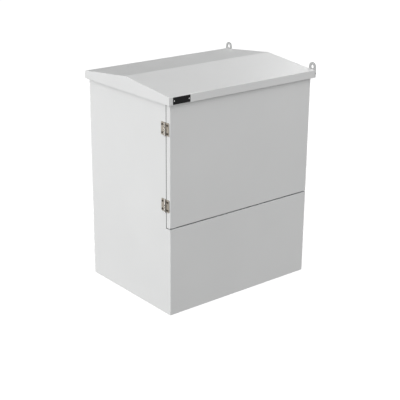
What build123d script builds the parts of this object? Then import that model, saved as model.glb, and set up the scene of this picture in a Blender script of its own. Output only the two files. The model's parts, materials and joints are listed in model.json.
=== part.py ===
from build123d import *
import os
from math import atan, cos

# Roadside utility cabinet: a folded steel body bolted to a root section, with one
# side-hung door, two quarter-turn locks and a gabled roof with two lifting lugs.
# Millimetres. +X runs right along the door face, the door faces -Y and +Z is up.
# The origin is at ground level, at the middle of the anchor pattern.

# Overall sizes of the body
width = 1000.0
depth = 740.0
plinth_height = 500.0
body_height = 700.0

# Sheets and bends
body_sheet = 2.5
plinth_sheet = 3.0
bend_inner = 1.0
weld_gap = 0.3

# Door pan and the gaps round it
door_depth = 30.0
door_bottom_gap = 5.0
door_top_drop = 23.0
door_side_gap = 3.0

# Front frame: its flanges, and the lip that the seal closes on
flange_width = 38.0
lip_height_inset = 29.0
lip_reach = 15.0
lip_corner = 4.0

# Door seal and door stiffeners
seal_width = 14.0
seal_clearance = 0.3
stiffener_depth = 12.0
stiffener_crown = 30.0
stiffener_foot = 15.0
stiffener_sheet = 1.5
stiffener_spacing = 380.0
stiffener_end_gap = 25.0

# Plinth frames
foot_leg = 70.0
foot_sheet = 5.0
foot_upstand = 50.0
top_leg = 40.0
top_downstand = 40.0
anchor_inset = 38.0
anchor_radius = 9.0

# Floor pan, top panel and what bolts the body down
pan_upstand = 25.0
aperture_width = 620.0
aperture_depth = 420.0
aperture_corner = 20.0
aperture_lip = 15.0
plinth_bolt_inset = 20.0
plinth_bolt_pitch = 480.0

# Roof
eave_overhang = 16.0
eave_height = 43.0
eave_lap = 20.0
ridge_rise = 40.0
roof_bend = 2.0
eave_hem = 8.0
bearer_spacing = 760.0
bearer_sheet = 2.5
bearer_flange = 25.0
bearer_end_gap = 5.0

# Lifting lugs, on the right-hand gable
lug_width = 50.0
lug_thickness = 6.0
lug_eye_radius = 11.0
lug_eye_rise = 17.0
lug_bolt_pitch = 26.0

# Name plate on the front eave
plate_width = 112.0
plate_height = 38.0
plate_thickness = 1.0
plate_left_margin = 7.5
plate_corner = 2.0
rivet_pitch = 96.0
rivet_radius = 1.6
rivet_head_radius = 3.4
rivet_head_height = 1.5
rivet_gap = 0.1
rivet_tail = 4.0

# Hinges, on the left side
hinge_height = 70.0
hinge_leaf = 3.0
hinge_knuckle = 6.0
hinge_pin_radius = 3.0
hinge_running_gap = 0.05
hinge_washer_thickness = 1.0
hinge_body_reach = 40.0
hinge_door_reach = 27.0
hinge_leaf_corner = 4.0
hinge_screw_pitch = 44.0
hinge_body_screw = 28.0
hinge_door_screw = 15.0
hinge_top_inset = 130.0
hinge_bottom_inset = 124.0
knuckle_clearance = 0.5
moving_gap = 0.3

# Locks, in the right-hand return of the door
lock_end_inset = 157.0
lock_flange_radius = 12.0
lock_flange_thickness = 3.0
lock_barrel_radius = 8.0
lock_barrel_length = 14.0
lock_plug_radius = 6.0
lock_running_gap = 0.05
lock_head_radius = 8.0
lock_head_thickness = 2.0
lock_nut_flats = 21.0
lock_nut_height = 5.0
lock_key_size = 4.0
lock_key_depth = 4.0
claw_thickness = 4.0
claw_hub = 6.0
claw_tenon = 6.0
claw_inner = 12.0
claw_outer = 16.0
claw_finger_angle = 55.0
claw_web_angle = 15.0
claw_lead_angle = 65.0
claw_tip_radius = 2.5
claw_tip_length = 5.0
claw_nut_flats = 8.0
claw_nut_height = 4.0
keeper_offset = 9.0
keeper_pin_radius = 2.5
keeper_sheet = 3.0
keeper_foot_height = 40.0
keeper_foot_width = 14.0
keeper_ear_height = 12.0
keeper_ear_gap = 5.5

# Equipment board on the back wall
board_width = 860.0
board_height = 600.0
board_sheet = 2.0
board_hem = 15.0
board_stud_spacing_x = 780.0
board_stud_spacing_z = 520.0
board_spacer_flats = 14.0
board_standoff = 22.0
board_stud_radius = 4.0
board_stud_tail = 12.0

# Fasteners: shank radius, clearance in a hole, nut and head sizes
hole_clearance = 0.3
thread_gap = 0.2
thread_tail = 2.0
m6_radius = 3.0
m6_flats = 10.0
m6_head = 4.0
m6_nut = 5.0
m8_flats = 13.0
m8_nut = 6.5
m10_radius = 5.0
m10_flats = 16.0
m10_head = 6.4
m10_nut = 8.0

# Earth stud on the left wall
earth_y = 250.0
earth_rise = 60.0
earth_length = 28.0
earth_washer_radius = 10.0
earth_washer_thickness = 2.0

# Sizes worked out from the ones above
half_width = width / 2
half_depth = depth / 2
body_bottom = plinth_height
body_top = plinth_height + body_height
bend_outer = bend_inner + body_sheet
plinth_bend = bend_inner + plinth_sheet

door_front = -half_depth
door_back = door_front + door_depth
door_bottom = body_bottom + door_bottom_gap
door_top = body_top - door_top_drop
door_inside = door_front + body_sheet

flange_front = door_back + door_side_gap
flange_back = flange_front + body_sheet
frame_back = flange_back + body_sheet
frame_side = half_width - body_sheet - bend_inner
lip_side = half_width - flange_width - weld_gap
lip_bottom = door_bottom + lip_height_inset
lip_top = door_top - lip_height_inset
lip_front = flange_front - lip_reach
inside_back = half_depth - body_sheet

pan_side = half_width - body_sheet - weld_gap
pan_back = inside_back - weld_gap

eave_bottom = body_top - eave_lap
eave_top = eave_bottom + eave_height
ridge_top = eave_top + ridge_rise
roof_side = half_width + eave_overhang
roof_end = half_depth + eave_overhang
roof_angle = atan(ridge_rise / roof_end)
roof_drop = body_sheet / cos(roof_angle)

hinge_upper_middle = door_top - hinge_top_inset
hinge_lower_middle = door_bottom + hinge_bottom_inset
hinge_axis_x = -half_width - hinge_knuckle
hinge_axis_y = (door_back + flange_front) / 2

lock_upper_height = door_top - lock_end_inset
lock_lower_height = door_bottom + lock_end_inset
lock_axis_y = (door_front + door_back) / 2
claw_side = half_width - lock_barrel_length - moving_gap
claw_inside = claw_side - claw_thickness
keeper_axis_y = lock_axis_y + keeper_offset

board_back = inside_back - board_standoff
board_front = board_back - board_sheet
board_middle = (lip_bottom + lip_top) / 2

NORMALS = {
    "+X": (1, 0, 0),
    "-X": (-1, 0, 0),
    "+Y": (0, 1, 0),
    "-Y": (0, -1, 0),
    "+Z": (0, 0, 1),
    "-Z": (0, 0, -1),
}


def block(low, high):
    """A box between two corners."""
    size = [high[i] - low[i] for i in range(3)]
    middle = [(high[i] + low[i]) / 2 for i in range(3)]
    return Pos(*middle) * Box(*size)


def place(at, facing):
    """A sketch plane at a point, facing along one axis."""
    return Plane(origin=at, z_dir=NORMALS[facing])


def rod(at, facing, radius, length):
    """A round bar that starts at a point and runs the way it faces."""
    return extrude(place(at, facing) * Circle(radius), length)


def hexagon(at, facing, flats, length):
    """A hexagonal bar with a size across its flats."""
    return extrude(place(at, facing) * RegularPolygon(flats / 2, 6, major_radius=False), length)


def shank(at, facing, radius, length):
    """An eight-sided bar: fewer facets for the many fasteners, and for the holes they pass."""
    return extrude(place(at, facing) * RegularPolygon(radius, 8, major_radius=False), length)


def nut(at, facing, flats, height, bore):
    """A hexagonal nut on its seat, facing away from it."""
    return hexagon(at, facing, flats, height) - shank(at, facing, bore + thread_gap, height)


def upright(half_x, low_y, high_y, corner, low_z, high_z):
    """An upright prism with rounded corners, symmetrical left to right."""
    outline = Pos(0, (low_y + high_y) / 2) * RectangleRounded(2 * half_x, high_y - low_y, corner)
    return extrude(Plane.XY.offset(low_z) * outline, high_z - low_z)


def facing_ring(half_x, low_z, high_z, corner, low_y, high_y):
    """A prism that lies along Y, with rounded corners seen from the front."""
    outline = Pos(0, (low_z + high_z) / 2) * RectangleRounded(2 * half_x, high_z - low_z, corner)
    return extrude(Plane.XZ.offset(-high_y) * outline, high_y - low_y)


def opposite(facing):
    """The other way along the same axis."""
    return ("-" if facing[0] == "+" else "+") + facing[1]


def moved(at, facing, distance):
    """A point moved along one axis."""
    return tuple(at[i] + NORMALS[facing][i] * distance for i in range(3))


def headed_bolt(seat, facing, flats, head, radius, grip):
    """A hexagon bolt whose head sits on a face, with its shank through the joint."""
    return hexagon(seat, facing, flats, head) + shank(seat, opposite(facing), radius, grip)


def frame_ring(half_x, low_y, high_y, rim, low_z, high_z):
    """A square-cornered upright ring of one wall thickness."""
    outer = block((-half_x, low_y, low_z), (half_x, high_y, high_z))
    inner_x = half_x - rim
    return outer - block((-inner_x, low_y + rim, low_z), (inner_x, high_y - rim, high_z))


def joined(shapes):
    """A group of separate solids that share one node."""
    return Compound(children=[solid for shape in shapes for solid in shape.solids()])


# Root section

def anchor_places():
    """The four anchor points, as x and y."""
    x = half_width - anchor_inset
    y = half_depth - anchor_inset
    return [(sx * x, sy * y) for sx in (-1, 1) for sy in (-1, 1)]


def plinth_bolt_places():
    """The points where the body is bolted down, along both sides."""
    x = half_width - plinth_bolt_inset
    y = plinth_bolt_pitch / 2
    return [(sx * x, sy * y) for sx in (-1, 1) for sy in (-1, 1)]


def plinth_skirt():
    """The sheet wrapped round the root section."""
    inner_x = half_width - plinth_sheet
    inner_y = half_depth - plinth_sheet
    outer = upright(half_width, -half_depth, half_depth, plinth_bend, 0, plinth_height)
    return outer - upright(inner_x, -inner_y, inner_y, bend_inner, 0, plinth_height)


def angle_ring(leg, sheet, stand, low_z, plate_low):
    """A welded angle ring inside the root section, its plate at one end of its upright leg."""
    half_x = half_width - plinth_sheet - weld_gap
    half_y = half_depth - plinth_sheet - weld_gap
    upright_leg = frame_ring(half_x, -half_y, half_y, sheet, low_z, low_z + stand)
    plate_width = leg - plinth_sheet - weld_gap
    plate = frame_ring(half_x, -half_y, half_y, plate_width, plate_low, plate_low + sheet)
    return upright_leg + plate


def plinth_foot_frame():
    """The foot ring, with one hole for an anchor bolt at each corner."""
    ring = angle_ring(foot_leg, foot_sheet, foot_upstand, 0, 0)
    for x, y in anchor_places():
        ring -= rod((x, y, 0), "+Z", anchor_radius, foot_sheet)
    return ring


def plinth_top_frame():
    """The ring that the body stands on, with the weld nuts that it is bolted to."""
    low = plinth_height - top_downstand
    plate_low = plinth_height - plinth_sheet
    ring = angle_ring(top_leg, plinth_sheet, top_downstand, low, plate_low)
    for x, y in plinth_bolt_places():
        ring += hexagon((x, y, plate_low), "-Z", m10_flats, m10_nut)
        ring -= shank((x, y, low), "+Z", m10_radius + hole_clearance, top_downstand)
    return ring


def plinth_bolts():
    """The bolts that hold the body to the root section."""
    seat = body_bottom + body_sheet
    grip = body_sheet + plinth_sheet + m10_nut + thread_tail
    bolts = []
    for x, y in plinth_bolt_places():
        bolts.append(headed_bolt((x, y, seat), "+Z", m10_flats, m10_head, m10_radius, grip))
    return joined(bolts)


# Body

def earth_place():
    """The foot of the earth stud, on the left wall."""
    return (-half_width + body_sheet, earth_y, body_bottom + earth_rise)


def board_stud_places():
    """The four studs of the equipment board, as x and z."""
    x = board_stud_spacing_x / 2
    z = board_stud_spacing_z / 2
    return [(sx * x, board_middle + sz * z) for sx in (-1, 1) for sz in (-1, 1)]


def hinge_screw_places(reach):
    """The hinge screws at one distance from the pin, as y and z."""
    y = hinge_axis_y + reach
    rows = []
    for middle in (hinge_upper_middle, hinge_lower_middle):
        for side in (-1, 1):
            rows.append((y, middle + side * hinge_screw_pitch / 2))
    return rows


def with_weld_nuts(sheet, places):
    """A left-hand wall with a weld nut inside each of its screw holes."""
    length = body_sheet + m6_nut
    for y, z in places:
        sheet += hexagon((-half_width + body_sheet, y, z), "+X", m6_flats, m6_nut)
        sheet -= shank((-half_width, y, z), "+X", m6_radius + hole_clearance, length)
    return sheet


def body_shell():
    """Left side, back and right side in one folded sheet, with inward flanges at the front."""
    inner_x = half_width - body_sheet
    shell = upright(half_width, flange_front, half_depth, bend_outer, body_bottom, body_top)
    shell -= upright(inner_x, flange_back, inside_back, bend_inner, body_bottom, body_top)
    mouth = half_width - flange_width
    shell -= block((-mouth, flange_front, body_bottom), (mouth, flange_back, body_top))
    return with_weld_nuts(shell, hinge_screw_places(hinge_body_screw))


def floor_pan():
    """The floor tray, with a lipped opening for the cables."""
    low = body_bottom
    top = body_bottom + body_sheet
    pan = frame_ring(pan_side, frame_back, pan_back, body_sheet, low, low + pan_upstand)
    pan += block((-pan_side, frame_back, low), (pan_side, pan_back, top))
    half_x = aperture_width / 2
    half_y = aperture_depth / 2
    lip = upright(half_x, -half_y, half_y, aperture_corner, low, low + aperture_lip)
    hole_x = half_x - body_sheet
    hole_y = half_y - body_sheet
    hole_corner = aperture_corner - body_sheet
    pan = pan + lip - upright(hole_x, -hole_y, hole_y, hole_corner, low, low + aperture_lip)
    for x, y in plinth_bolt_places():
        pan -= shank((x, y, low), "+Z", m10_radius + hole_clearance, body_sheet)
    return pan


def top_panel():
    """The lid of the body: a tray turned down at its edges, under the roof."""
    low = body_top - pan_upstand
    lid = frame_ring(pan_side, frame_back, pan_back, body_sheet, low, body_top)
    return lid + block((-pan_side, frame_back, body_top - body_sheet), (pan_side, pan_back, body_top))


def door_frame():
    """The frame behind the front flanges, with the forward lip that sheds the rain."""
    plate = block((-frame_side, flange_back, body_bottom), (frame_side, frame_back, body_top))
    lip = facing_ring(lip_side, lip_bottom, lip_top, lip_corner, lip_front, frame_back)
    bore = lip_side - body_sheet
    bore_low = lip_bottom + body_sheet
    bore_high = lip_top - body_sheet
    corner = lip_corner - body_sheet
    return plate + lip - facing_ring(bore, bore_low, bore_high, corner, lip_front, frame_back)


def earth_stud():
    """The brass stud that the earth strap is bolted to."""
    return shank(earth_place(), "+X", m10_radius, earth_length)


def earth_nuts():
    """The washer and nut on the earth stud."""
    seat = earth_place()
    washer = rod(seat, "+X", earth_washer_radius, earth_washer_thickness)
    washer -= shank(seat, "+X", m10_radius + thread_gap, earth_washer_thickness)
    on_washer = moved(seat, "+X", earth_washer_thickness)
    return joined([washer, nut(on_washer, "+X", m10_flats, m10_nut, m10_radius)])


# Equipment board

def mounting_plate():
    """The equipment board: a sheet with all its edges turned towards the back wall."""
    half_x = board_width / 2
    low = board_middle - board_height / 2
    high = board_middle + board_height / 2
    board = block((-half_x, board_front, low), (half_x, board_front + board_hem, high))
    inner = half_x - board_sheet
    hollow = (-inner, board_back, low + board_sheet)
    board -= block(hollow, (inner, board_front + board_hem, high - board_sheet))
    for x, z in board_stud_places():
        board -= shank((x, board_front, z), "+Y", board_stud_radius + hole_clearance, board_sheet)
    return board


def mounting_studs():
    """Hexagonal spacers on the back wall with threaded ends, which hold the board off it."""
    studs = []
    for x, z in board_stud_places():
        stud = hexagon((x, inside_back, z), "-Y", board_spacer_flats, board_standoff)
        stud += shank((x, board_back, z), "-Y", board_stud_radius, board_sheet + board_stud_tail)
        studs.append(stud)
    return joined(studs)


def mounting_nuts():
    """The nuts that clamp the board to its studs."""
    nuts = []
    for x, z in board_stud_places():
        nuts.append(nut((x, board_front, z), "-Y", m8_flats, m8_nut, board_stud_radius))
    return joined(nuts)


# Roof

def roof_line(y, drop):
    """Height of the roof's slope at a place from front to back, less a drop."""
    return ridge_top - ridge_rise * abs(y) / roof_end - drop


def gable(half_y, low_z, drop, low_x, high_x):
    """A prism along X with a level bottom and the roof's two slopes on top."""
    corners = [
        (-half_y, low_z),
        (half_y, low_z),
        (half_y, roof_line(half_y, drop)),
        (0, roof_line(0, drop)),
        (-half_y, roof_line(half_y, drop)),
    ]
    outline = Plane.YZ.offset(low_x) * Polygon(*corners, align=None)
    return extrude(outline, high_x - low_x)


def roof_folds(edge):
    """True for the folds between the slopes and the eave skirt, and not for the ridge."""
    middle = edge.center()
    above = middle.Z > eave_bottom + eave_height / 2
    outside = abs(middle.X) > half_width or abs(middle.Y) > half_depth
    upright_edge = abs(middle.X) > half_width and abs(middle.Y) > half_depth
    return above and outside and not upright_edge


def roof_canopy():
    """The roof: two slopes with an eave skirt folded down all round and hemmed inwards."""
    outer = gable(roof_end, eave_bottom, 0, -roof_side, roof_side)
    outer = fillet(outer.edges().filter_by(roof_folds), roof_bend)
    inner_y = roof_end - body_sheet
    inner_x = roof_side - body_sheet
    hollow_low = eave_bottom + body_sheet
    roof = outer - gable(inner_y, hollow_low, roof_drop, -inner_x, inner_x)
    mouth_x = roof_side - eave_hem
    mouth_y = roof_end - eave_hem
    roof -= block((-mouth_x, -mouth_y, eave_bottom), (mouth_x, mouth_y, hollow_low))
    for y, z in lug_bolt_places():
        roof += hexagon((inner_x, y, z), "-X", m10_flats, m10_nut)
        length = body_sheet + m10_nut
        roof -= shank((roof_side, y, z), "-X", m10_radius + hole_clearance, length)
    for x, z in rivet_places():
        roof -= shank((x, -roof_end, z), "+Y", rivet_radius + rivet_gap, body_sheet)
    return roof


def roof_bearer(side):
    """A folded bearer, welded to the top panel, that carries the roof's slopes."""
    half_y = frame_reach()
    web = side * bearer_spacing / 2
    inner = web - side * bearer_sheet
    outer = web + side * bearer_flange
    low_x, high_x = sorted((web, inner))
    bearer = gable(half_y, body_top, roof_drop, low_x, high_x)
    low_x, high_x = sorted((inner, outer))
    bearer += block((low_x, -half_y, body_top), (high_x, half_y, body_top + bearer_sheet))
    low_x, high_x = sorted((inner - side * bearer_flange, web))
    cap = gable(half_y, body_top, roof_drop, low_x, high_x)
    hollow_low = body_top - bearer_sheet
    cap -= gable(half_y, hollow_low, roof_drop + bearer_sheet, low_x, high_x)
    return bearer + cap


def frame_reach():
    """How far the bearers run each way from the middle of the top panel."""
    return -frame_back - bearer_end_gap


# Lifting lugs

def lug_middles():
    """The middles of the two lugs from front to back: each is flush with an end of the roof."""
    y = roof_end - lug_width / 2
    return (-y, y)


def lug_bolt_places():
    """The lug bolts, as y and z."""
    z = eave_bottom + eave_height / 2
    rows = []
    for middle in lug_middles():
        rows.append((middle - lug_bolt_pitch / 2, z))
        rows.append((middle + lug_bolt_pitch / 2, z))
    return rows


def lifting_lug(middle):
    """A flat lug with a round top and an eye for a shackle."""
    eye_z = eave_top + lug_eye_rise
    low = (roof_side, middle - lug_width / 2, eave_bottom)
    high = (roof_side + lug_thickness, middle + lug_width / 2, eye_z)
    eye = (roof_side, middle, eye_z)
    lug = block(low, high) + rod(eye, "+X", lug_width / 2, lug_thickness)
    lug -= rod(eye, "+X", lug_eye_radius, lug_thickness)
    for y, z in lug_bolt_places():
        lug -= shank((roof_side, y, z), "+X", m10_radius + hole_clearance, lug_thickness)
    return lug


def lug_bolts():
    """The bolts through the lugs and the eave, into its weld nuts."""
    seat_x = roof_side + lug_thickness
    grip = lug_thickness + body_sheet + m10_nut + thread_tail
    bolts = []
    for y, z in lug_bolt_places():
        bolts.append(headed_bolt((seat_x, y, z), "+X", m10_flats, m10_head, m10_radius, grip))
    return joined(bolts)


# Name plate

def plate_middle():
    """The middle of the name plate, as x and z."""
    x = -half_width + plate_left_margin + plate_width / 2
    return (x, eave_bottom + eave_height / 2)


def rivet_places():
    """The two rivets of the name plate, as x and z."""
    x, z = plate_middle()
    return [(x - rivet_pitch / 2, z), (x + rivet_pitch / 2, z)]


def name_plate():
    """A thin blank plate on the front eave."""
    x, z = plate_middle()
    outline = Pos(x, z) * RectangleRounded(plate_width, plate_height, plate_corner)
    plate = extrude(Plane.XZ.offset(roof_end) * outline, plate_thickness)
    for hole_x, hole_z in rivet_places():
        front = (hole_x, -roof_end - plate_thickness, hole_z)
        plate -= shank(front, "+Y", rivet_radius + rivet_gap, plate_thickness)
    return plate


def name_plate_rivets():
    """Flat-headed rivets through the plate and the eave."""
    rivets = []
    for x, z in rivet_places():
        seat = (x, -roof_end - plate_thickness, z)
        head = rod(seat, "-Y", rivet_head_radius, rivet_head_height)
        grip = plate_thickness + body_sheet + rivet_tail
        rivets.append(head + shank(seat, "+Y", rivet_radius, grip))
    return joined(rivets)


# Hinges

def hinge_leaf_plate(middle, towards, reach):
    """A flat leaf from the pin line outwards, with its two far corners rounded."""
    far = hinge_axis_y + towards * reach
    low_y, high_y = sorted((hinge_axis_y, far))
    low = (-half_width - hinge_leaf, low_y, middle - hinge_height / 2)
    high = (-half_width, high_y, middle + hinge_height / 2)
    leaf = block(low, high)
    corners = leaf.edges().filter_by(Axis.X).sort_by(Axis.Y)
    corners = corners[-2:] if towards > 0 else corners[:2]
    return fillet(corners, hinge_leaf_corner)


def hinge_half(middle, towards, reach, screw, own_low, own_high, own_end):
    """A leaf and its own knuckle, cut clear of the other leaf's knuckle."""
    leaf = hinge_leaf_plate(middle, towards, reach)
    low = middle - hinge_height / 2
    clear = (hinge_axis_x, hinge_axis_y, low)
    leaf -= rod(clear, "+Z", hinge_knuckle + knuckle_clearance, hinge_height)
    knuckle = rod((hinge_axis_x, hinge_axis_y, own_low), "+Z", hinge_knuckle, own_high - own_low)
    web_far = hinge_axis_y + towards * (hinge_knuckle + hinge_leaf)
    low_y, high_y = sorted((hinge_axis_y, web_far))
    web = block((-half_width - hinge_leaf, low_y, own_low), (-half_width, high_y, own_high))
    half = leaf + knuckle + web
    bore = hinge_pin_radius + hinge_running_gap
    half -= rod((hinge_axis_x, hinge_axis_y, own_low), "+Z", bore, own_end - own_low)
    for y, z in hinge_screw_places(towards * screw):
        seat = (-half_width - hinge_leaf, y, z)
        half -= shank(seat, "+X", m6_radius + hole_clearance, hinge_leaf)
    return half


def hinge_body_leaf(middle):
    """The leaf on the body, with the lower knuckle."""
    low = middle - hinge_height / 2
    high = middle - hinge_washer_thickness / 2
    return hinge_half(middle, 1, hinge_body_reach, hinge_body_screw, low, high, high)


def hinge_door_leaf(middle):
    """The leaf on the door, with the upper knuckle, which turns on the pin."""
    low = middle + hinge_washer_thickness / 2 + moving_gap
    high = middle + hinge_height / 2
    end = high - hinge_leaf
    return hinge_half(middle, -1, hinge_door_reach, hinge_door_screw, low, high, end)


def hinge_pin(middle):
    """The pin, fixed in the lower knuckle."""
    low = middle - hinge_height / 2
    length = hinge_height - hinge_leaf - 2 * moving_gap
    return rod((hinge_axis_x, hinge_axis_y, low), "+Z", hinge_pin_radius, length)


def hinge_washers():
    """The washers that the door's knuckles turn on."""
    bore = hinge_pin_radius + hinge_running_gap
    washers = []
    for middle in (hinge_upper_middle, hinge_lower_middle):
        at = (hinge_axis_x, hinge_axis_y, middle - hinge_washer_thickness / 2)
        washer = rod(at, "+Z", hinge_knuckle, hinge_washer_thickness)
        washers.append(washer - rod(at, "+Z", bore, hinge_washer_thickness))
    return joined(washers)


def hinge_screws(reach):
    """Hexagon screws through a leaf and the sheet behind it, into the weld nuts."""
    grip = hinge_leaf + body_sheet + m6_nut + thread_tail
    screws = []
    for y, z in hinge_screw_places(reach):
        seat = (-half_width - hinge_leaf, y, z)
        screws.append(headed_bolt(seat, "-X", m6_flats, m6_head, m6_radius, grip))
    return joined(screws)


# Door

def front_edges(shape):
    """The edges round the front face of a box."""
    return shape.faces().sort_by(Axis.Y)[0].edges()


def door_panel():
    """The door: one sheet folded into a pan, with its returns towards the body."""
    outer = block((-half_width, door_front, door_bottom), (half_width, door_back, door_top))
    inner_x = half_width - body_sheet
    low = (-inner_x, door_inside, door_bottom + body_sheet)
    hollow = block(low, (inner_x, door_back, door_top - body_sheet))
    pan = fillet(front_edges(outer), bend_outer) - fillet(front_edges(hollow), bend_inner)
    pan = with_weld_nuts(pan, hinge_screw_places(-hinge_door_screw))
    for z in (lock_upper_height, lock_lower_height):
        hole = lock_barrel_radius + hole_clearance
        pan -= rod((inner_x, lock_axis_y, z), "+X", hole, body_sheet)
    return pan


def door_seal():
    """The rubber loop on the inside of the door, opposite the frame's lip."""
    middle_x = lip_side - body_sheet / 2
    middle_low = lip_bottom + body_sheet / 2
    middle_high = lip_top - body_sheet / 2
    grow = seal_width / 2
    back = lip_front - seal_clearance
    corner = lip_corner + grow
    low = middle_low - grow
    high = middle_high + grow
    loop = facing_ring(middle_x + grow, low, high, corner, door_inside, back)
    bore_low = middle_low + grow
    bore_high = middle_high - grow
    bore_x = middle_x - grow
    return loop - facing_ring(bore_x, bore_low, bore_high, bend_inner, door_inside, back)


def door_stiffener(side):
    """A hat-section stiffener on the inside of the door."""
    middle = side * stiffener_spacing / 2
    crown = stiffener_crown / 2
    foot = crown + stiffener_foot
    low = lip_bottom + stiffener_end_gap
    high = lip_top - stiffener_end_gap
    back = door_inside + stiffener_depth
    hat = block((middle - crown, door_inside, low), (middle + crown, back, high))
    inner = crown - stiffener_sheet
    hat -= block((middle - inner, door_inside, low), (middle + inner, back - stiffener_sheet, high))
    seat = door_inside + stiffener_sheet
    for edge in (-1, 1):
        low_x, high_x = sorted((middle + edge * inner, middle + edge * foot))
        hat += block((low_x, door_inside, low), (high_x, seat, high))
    return hat


# Locks

def lock_housings():
    """The outer part of each lock: a flange outside the door's return and a barrel through it."""
    length = lock_flange_thickness + lock_barrel_length
    housings = []
    for z in (lock_upper_height, lock_lower_height):
        face = (half_width, lock_axis_y, z)
        housing = rod(face, "+X", lock_flange_radius, lock_flange_thickness)
        housing += rod(face, "-X", lock_barrel_radius, lock_barrel_length)
        outside = moved(face, "+X", lock_flange_thickness)
        housings.append(housing - rod(outside, "-X", lock_plug_radius, length))
    return joined(housings)


def lock_housing_nuts():
    """The nuts that clamp the housings to the return."""
    nuts = []
    for z in (lock_upper_height, lock_lower_height):
        seat = (half_width - body_sheet, lock_axis_y, z)
        nuts.append(nut(seat, "-X", lock_nut_flats, lock_nut_height, lock_barrel_radius))
    return joined(nuts)


def lock_plug(z):
    """The turning part: a head with a three-sided key recess, a square for the claw and a tip."""
    radius = lock_plug_radius - lock_running_gap
    outside = half_width + lock_flange_thickness + moving_gap
    plug = rod((claw_side, lock_axis_y, z), "+X", radius, outside - claw_side)
    plug += rod((outside, lock_axis_y, z), "+X", lock_head_radius, lock_head_thickness)
    tenon = claw_tenon / 2
    low = (claw_inside, lock_axis_y - tenon, z - tenon)
    plug += block(low, (claw_side, lock_axis_y + tenon, z + tenon))
    plug += shank((claw_inside, lock_axis_y, z), "-X", claw_tip_radius, claw_tip_length)
    key = place((outside + lock_head_thickness, lock_axis_y, z), "-X")
    return plug - extrude(key * RegularPolygon(lock_key_size, 3), lock_key_depth)


def sector(radius, start, sweep):
    """A flat wedge between two angles, measured from the X axis of its plane."""
    reach = 2 * radius
    corners = [(0, 0)]
    for share in (0, 0.5, 1):
        corner = Vector(reach, 0).rotate(Axis.Z, start + share * sweep)
        corners.append((corner.X, corner.Y))
    return Polygon(*corners, align=None)


def lock_claw(z):
    """A hooked claw on the plug: its curved finger turns in behind the keeper's pin."""
    ring = Circle(claw_outer) - Circle(claw_inner)
    total = claw_finger_angle + claw_web_angle
    finger = ring & sector(claw_outer, claw_lead_angle, total)
    web_start = claw_lead_angle + claw_finger_angle
    web = Circle(claw_outer) & sector(claw_outer, web_start, claw_web_angle)
    outline = Circle(claw_hub) + finger + web - Rectangle(claw_tenon, claw_tenon)
    at = Plane(origin=(claw_inside, lock_axis_y, z), x_dir=(0, 1, 0), z_dir=(1, 0, 0))
    return extrude(at * outline, claw_thickness)


def lock_claw_nut(z):
    """The nut that holds the claw on the plug."""
    seat = (claw_inside, lock_axis_y, z)
    return nut(seat, "-X", claw_nut_flats, claw_nut_height, claw_tip_radius)


def lock_keeper(z):
    """A welded bracket on the front flange, with the pin that the claw hooks behind."""
    ear_side = claw_inside - keeper_ear_gap
    foot_side = ear_side - keeper_foot_width
    foot_front = flange_front - keeper_sheet
    foot_half = keeper_foot_height / 2
    ear_half = keeper_ear_height / 2
    low = (foot_side, foot_front, z - foot_half)
    keeper = block(low, (ear_side, flange_front, z + foot_half))
    ear_front = keeper_axis_y - ear_half
    low = (ear_side - keeper_sheet, ear_front, z - ear_half)
    keeper += block(low, (ear_side, foot_front, z + ear_half))
    pin_foot = (ear_side - keeper_sheet, keeper_axis_y, z)
    length = claw_side - moving_gap - pin_foot[0]
    return keeper + rod(pin_foot, "+X", keeper_pin_radius, length)


def all_pieces():
    """Every piece by the name of its node."""
    pieces = {
        "plinth_skirt": plinth_skirt(),
        "plinth_foot_frame": plinth_foot_frame(),
        "plinth_top_frame": plinth_top_frame(),
        "plinth_bolts": plinth_bolts(),
        "floor_pan": floor_pan(),
        "body_shell": body_shell(),
        "door_frame": door_frame(),
        "top_panel": top_panel(),
        "roof_bearer_left": roof_bearer(-1),
        "roof_bearer_right": roof_bearer(1),
        "roof_canopy": roof_canopy(),
        "lug_bolts": lug_bolts(),
        "name_plate": name_plate(),
        "name_plate_rivets": name_plate_rivets(),
        "mounting_plate": mounting_plate(),
        "mounting_studs": mounting_studs(),
        "mounting_nuts": mounting_nuts(),
        "earth_stud": earth_stud(),
        "earth_nuts": earth_nuts(),
        "hinge_body_screws": hinge_screws(hinge_body_screw),
        "hinge_door_screws": hinge_screws(-hinge_door_screw),
        "hinge_washers": hinge_washers(),
        "door_panel": door_panel(),
        "door_seal": door_seal(),
        "door_stiffener_left": door_stiffener(-1),
        "door_stiffener_right": door_stiffener(1),
        "lock_housings": lock_housings(),
        "lock_housing_nuts": lock_housing_nuts(),
    }
    for end, middle in zip(("front", "rear"), lug_middles()):
        pieces["lifting_lug_" + end] = lifting_lug(middle)
    for row, middle in (("upper", hinge_upper_middle), ("lower", hinge_lower_middle)):
        pieces["hinge_" + row + "_body_leaf"] = hinge_body_leaf(middle)
        pieces["hinge_" + row + "_door_leaf"] = hinge_door_leaf(middle)
        pieces["hinge_" + row + "_pin"] = hinge_pin(middle)
    for row, height in (("upper", lock_upper_height), ("lower", lock_lower_height)):
        pieces["lock_" + row + "_plug"] = lock_plug(height)
        pieces["lock_" + row + "_claw"] = lock_claw(height)
        pieces["lock_" + row + "_claw_nut"] = lock_claw_nut(height)
        pieces["lock_" + row + "_keeper"] = lock_keeper(height)
    return pieces


def main():
    """Write one STEP file for each piece."""
    os.makedirs("parts", exist_ok=True)
    for name, piece in all_pieces().items():
        export_step(piece, "parts/" + name + ".step")


main()
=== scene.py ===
"""Looks of the roadside utility cabinet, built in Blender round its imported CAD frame."""

import json
import math

import bmesh
import bpy
from mathutils import Matrix, Vector

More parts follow.
